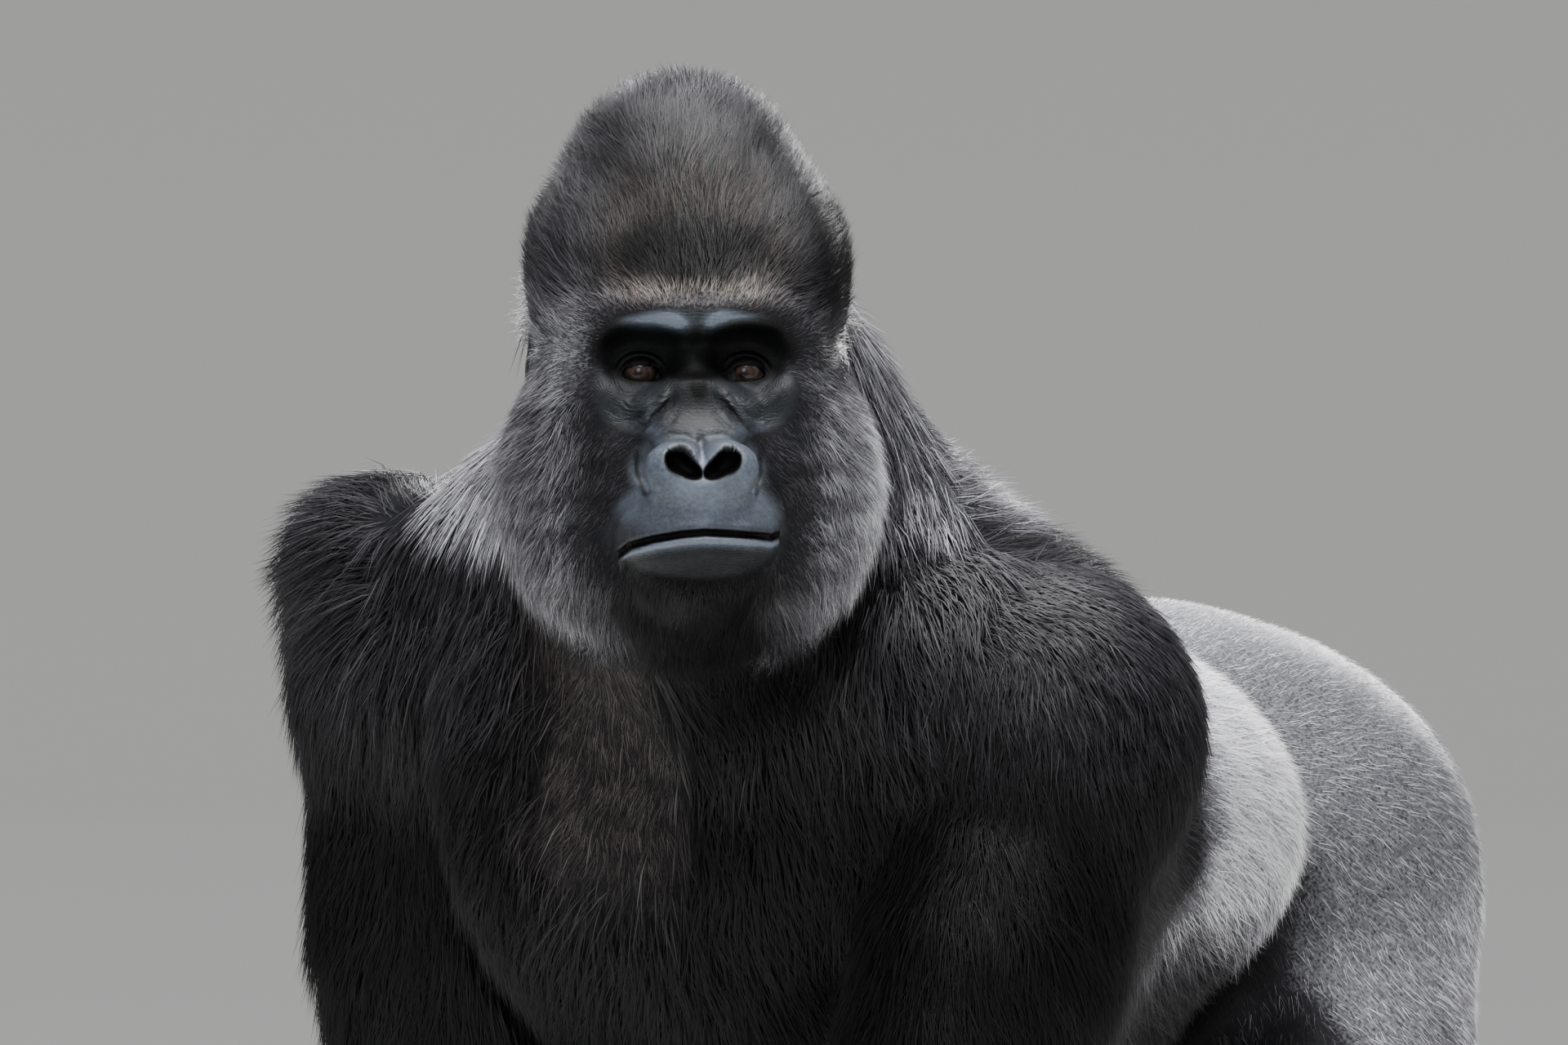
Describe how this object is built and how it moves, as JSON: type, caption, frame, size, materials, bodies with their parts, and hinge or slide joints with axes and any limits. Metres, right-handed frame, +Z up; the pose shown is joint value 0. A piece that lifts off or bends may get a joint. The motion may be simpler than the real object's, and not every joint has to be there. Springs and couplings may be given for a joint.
{
  "type": "gorilla",
  "caption": "Life-size still model of an adult male western lowland gorilla, standing on its knuckles and feet with its head turned to its left.",
  "frame": {"origin": "centre of the box's bottom face, on the floor", "axes": "+X to the animal's left, +Y from chest to rump, +Z up"},
  "size_m": [0.7446, 1.3528, 1.2244],
  "materials": {
    "coat_dark": "long and short black fur with grey tips",
    "coat_silver": "short silver grey fur",
    "skin": "bare slate black skin, satin and creased",
    "eye": "wet gloss, reddish brown iris"
  },
  "bodies": {
    "root": {"belly": "coat_silver", "chest": "coat_dark", "ear_left": "skin", "ear_right": "skin", "eye_left": "eye", "eye_right": "eye", "face": "skin", "foot_left": "skin", "foot_right": "skin", "forearm_left": "coat_dark", "forearm_right": "coat_dark", "hand_left": "skin", "hand_right": "skin", "head": "coat_dark", "neck": "coat_dark", "rump": "coat_silver", "shank_left": "coat_dark", "shank_right": "coat_dark", "thigh_left": "coat_silver", "thigh_right": "coat_silver", "upper_arm_left": "coat_dark", "upper_arm_right": "coat_dark"}
  },
  "joints": []
}
